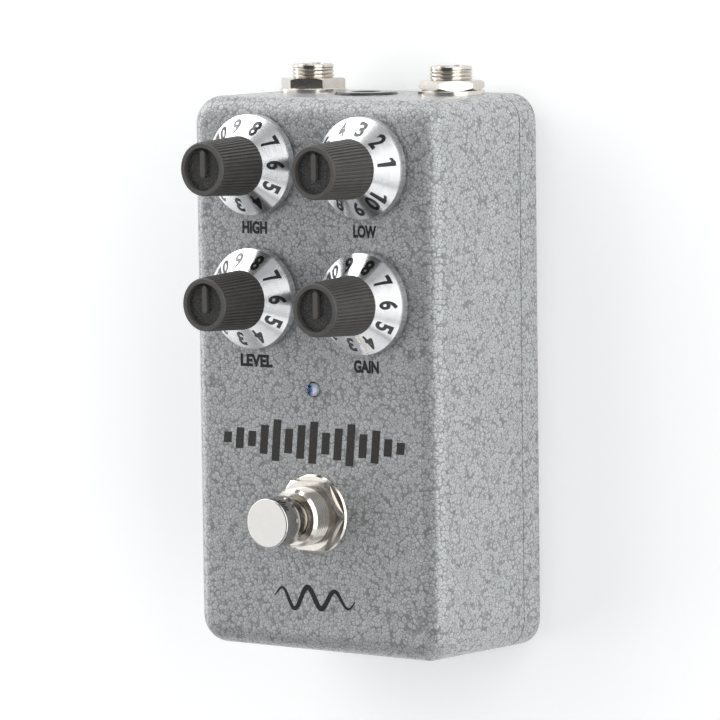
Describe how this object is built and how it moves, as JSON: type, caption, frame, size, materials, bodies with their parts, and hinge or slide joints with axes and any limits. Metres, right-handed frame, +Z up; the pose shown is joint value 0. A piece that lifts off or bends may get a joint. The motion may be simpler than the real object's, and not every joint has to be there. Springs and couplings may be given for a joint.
{
  "type": "guitar effects pedal",
  "caption": "Compact floor effects pedal: die-cast hammertone box with ribbed dials on numbered skirts, a footswitch, an indicator lamp, jack sockets and a power socket.",
  "frame": {"origin": "middle of the underside, on the plane of the rubber feet", "axes": "+Z up out of the control face, +Y towards the socket end, +X to the right seen from above"},
  "size_m": [0.0662, 0.1282, 0.0608],
  "materials": {
    "enclosure_paint": "silver-grey hammertone enamel",
    "screw_steel": "zinc plated",
    "rubber": "matt black",
    "knob_plastic": "dark grey, satin, fine ribs",
    "dial_aluminium": "spun and brushed in rings",
    "shaft_metal": "turned",
    "pot_case": "moulded",
    "nickel_plate": "bright nickel plate",
    "polished_nickel": "polished nickel plate",
    "switch_metal": "zinc plated sheet",
    "switch_plastic": "moulded",
    "contact_metal": "tinned",
    "spring_steel": "music wire",
    "jack_plastic": "glass filled",
    "socket_plastic": "glossy black",
    "socket_nut": "plated",
    "clear_lens": "water clear epoxy",
    "circuit_board": "green solder mask",
    "ribbon": "grey flat cable",
    "lead_insulation": "insulated wire",
    "chip_black": "moulded epoxy",
    "capacitor_sleeve": "shrink sleeve",
    "film_box": "box film capacitor",
    "resistor_coat": "lacquered"
  },
  "bodies": {
    "pedal": {"enclosure_shell": "enclosure_paint", "base_plate": "enclosure_paint", "base_screws": "screw_steel", "rubber_feet": "rubber", "high_pot_body": "pot_case", "low_pot_body": "pot_case", "level_pot_body": "pot_case", "gain_pot_body": "pot_case", "pot_bushings": "nickel_plate", "pot_nuts": "nickel_plate", "pot_washers": "nickel_plate", "footswitch_bushing": "nickel_plate", "footswitch_washer": "nickel_plate", "footswitch_nut": "nickel_plate", "footswitch_lock_washer": "nickel_plate", "footswitch_inner_nut": "nickel_plate", "input_jack_sleeve": "nickel_plate", "input_jack_nut": "nickel_plate", "output_jack_sleeve": "nickel_plate", "output_jack_nut": "nickel_plate", "jack_washers": "nickel_plate", "footswitch_frame": "switch_metal", "footswitch_body": "switch_plastic", "footswitch_lugs": "contact_metal", "input_jack_contacts": "contact_metal", "output_jack_contacts": "contact_metal", "dc_jack_pin": "contact_metal", "dc_jack_contact": "contact_metal", "led_legs": "contact_metal", "footswitch_spring": "spring_steel", "input_jack_body": "jack_plastic", "output_jack_body": "jack_plastic", "dc_jack_body": "socket_plastic", "board_header": "socket_plastic", "dc_jack_nut": "socket_nut", "led_lens": "clear_lens", "main_board": "circuit_board", "jack_board": "circuit_board", "switch_board": "circuit_board", "ribbon_cable": "ribbon", "power_leads": "lead_insulation", "op_amp_chips": "chip_black", "electrolytic_capacitors": "capacitor_sleeve", "film_capacitors": "film_box", "resistors": "resistor_coat"},
    "high_dial": {"high_knob_body": "knob_plastic", "high_knob_dial": "dial_aluminium", "high_pot_shaft": "shaft_metal"},
    "low_dial": {"low_knob_body": "knob_plastic", "low_knob_dial": "dial_aluminium", "low_pot_shaft": "shaft_metal"},
    "level_dial": {"level_knob_body": "knob_plastic", "level_knob_dial": "dial_aluminium", "level_pot_shaft": "shaft_metal"},
    "gain_dial": {"gain_knob_body": "knob_plastic", "gain_knob_dial": "dial_aluminium", "gain_pot_shaft": "shaft_metal"},
    "footswitch_button": {"footswitch_cap": "polished_nickel", "footswitch_plunger": "nickel_plate"}
  },
  "joints": [
    {"name": "high_turn", "type": "hinge", "parent": "pedal", "child": "high_dial", "pos_m": [-0.0147, 0.04265, 0.0413], "axis": [0, 0, -1], "range_deg": [-255, 45]},
    {"name": "low_turn", "type": "hinge", "parent": "pedal", "child": "low_dial", "pos_m": [0.0147, 0.04265, 0.0413], "axis": [0, 0, -1], "range_deg": [-80, 220]},
    {"name": "level_turn", "type": "hinge", "parent": "pedal", "child": "level_dial", "pos_m": [-0.0147, 0.01345, 0.0413], "axis": [0, 0, -1], "range_deg": [-255, 45]},
    {"name": "gain_turn", "type": "hinge", "parent": "pedal", "child": "gain_dial", "pos_m": [0.0147, 0.01345, 0.0413], "axis": [0, 0, -1], "range_deg": [-255, 45]},
    {"name": "footswitch_press", "type": "slide", "parent": "pedal", "child": "footswitch_button", "axis": [0, 0, -1], "range_m": [0, 0.0025], "stiffness_N_per_m": 2000, "springref_m": -0.003, "deforming": ["footswitch_spring"]}
  ]
}
